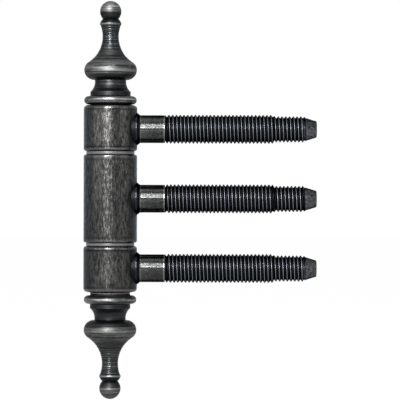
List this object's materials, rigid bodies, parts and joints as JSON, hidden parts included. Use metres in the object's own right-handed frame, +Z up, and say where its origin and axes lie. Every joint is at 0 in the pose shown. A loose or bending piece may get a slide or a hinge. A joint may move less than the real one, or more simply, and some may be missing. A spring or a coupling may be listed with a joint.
{
  "type": "drill-in hinge",
  "caption": "Three-part drill-in door hinge: knuckles on one pin between grey rings, each with a threaded spindle to one side, and turned ball finials at both ends, in dark antique iron.",
  "frame": {"origin": "on the hinge axis, the pin's centre line, at mid height of the door knuckle, where the door spindle's centre line crosses it", "axes": "+Z up along the pin, +X along the three spindles into the wood with the door shut, -Y towards the side that the picture shows"},
  "size_m": [0.061, 0.014, 0.1041],
  "materials": {
    "antique_iron": "dark antique plating, rubbed bright on the rims and drawn lengthwise",
    "turned_antique_iron": "dark antique plating with turning marks, polished on the high rounds",
    "blackened_steel": "blackened, bright where the shank is rubbed",
    "bright_steel": "ground",
    "grey_bush": "satin light grey"
  },
  "bodies": {
    "frame_side": {"upper_knuckle": "antique_iron", "upper_spindle": "blackened_steel", "hinge_pin": "bright_steel", "upper_finial": "turned_antique_iron", "lower_finial": "turned_antique_iron"},
    "door_side": {"door_knuckle": "antique_iron", "door_spindle": "blackened_steel", "upper_bush": "grey_bush", "lower_bush": "grey_bush"},
    "lower_frame_side": {"lower_knuckle": "antique_iron", "lower_spindle": "blackened_steel"}
  },
  "joints": [
    {"name": "door_swing", "type": "hinge", "parent": "frame_side", "child": "door_side", "pos_m": [0, 0, 0], "axis": [0, 0, 1], "continuous": true},
    {"name": "lower_knuckle_turn", "type": "hinge", "parent": "frame_side", "child": "lower_frame_side", "pos_m": [0, 0, -0.0184], "axis": [0, 0, 1], "continuous": true}
  ]
}
